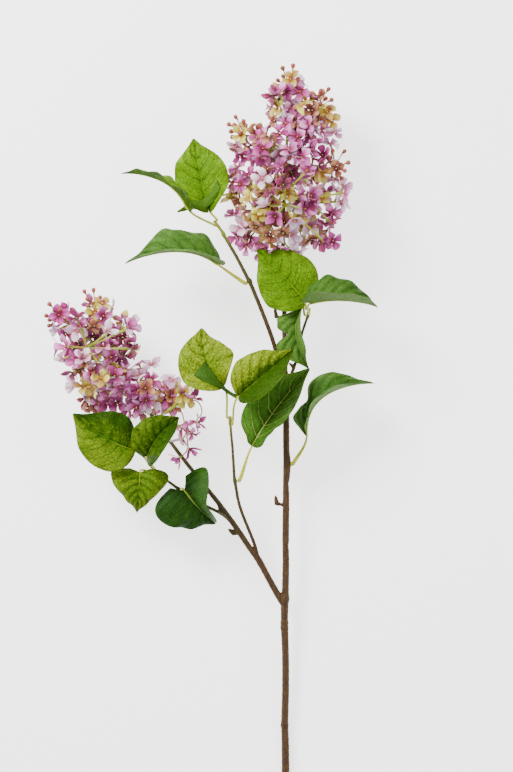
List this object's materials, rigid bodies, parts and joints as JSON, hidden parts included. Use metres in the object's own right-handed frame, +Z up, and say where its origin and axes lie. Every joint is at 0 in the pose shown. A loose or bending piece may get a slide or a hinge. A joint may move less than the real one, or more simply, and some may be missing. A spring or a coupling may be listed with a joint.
{
  "type": "lilac stem",
  "caption": "Cut lilac stem lying on a surface: a forked woody stem with heart-shaped leaves on petioles and flower heads of small cross-shaped florets with buds.",
  "frame": {"origin": "middle of the footprint, on the surface that the stem lies on", "axes": "+Y along the stem from the cut end to the top flower head, +X across it to the right of the picture, +Z up from the surface"},
  "size_m": [0.334, 0.7209, 0.1159],
  "materials": {
    "bark": "rough brown bark, greener on the twigs",
    "leaf": "printed leaf cloth with raised veins, satin",
    "floret": "thin matt petal cloth, lilac with darker throats"
  },
  "bodies": {
    "root": {"woody_stem": "bark", "leaf_upper_face": "leaf", "leaf_upper_left": "leaf", "leaf_upper_low": "leaf", "leaf_right_face": "leaf", "leaf_right_side": "leaf", "leaf_right_hanging": "leaf", "leaf_middle_face": "leaf", "leaf_middle_folded": "leaf", "leaf_middle_large": "leaf", "leaf_stem_right": "leaf", "leaf_left_face": "leaf", "leaf_left_folded": "leaf", "leaf_left_pointed": "leaf", "leaf_left_dark": "leaf", "flower_head_top": "floret", "flower_head_left": "floret"}
  },
  "joints": []
}
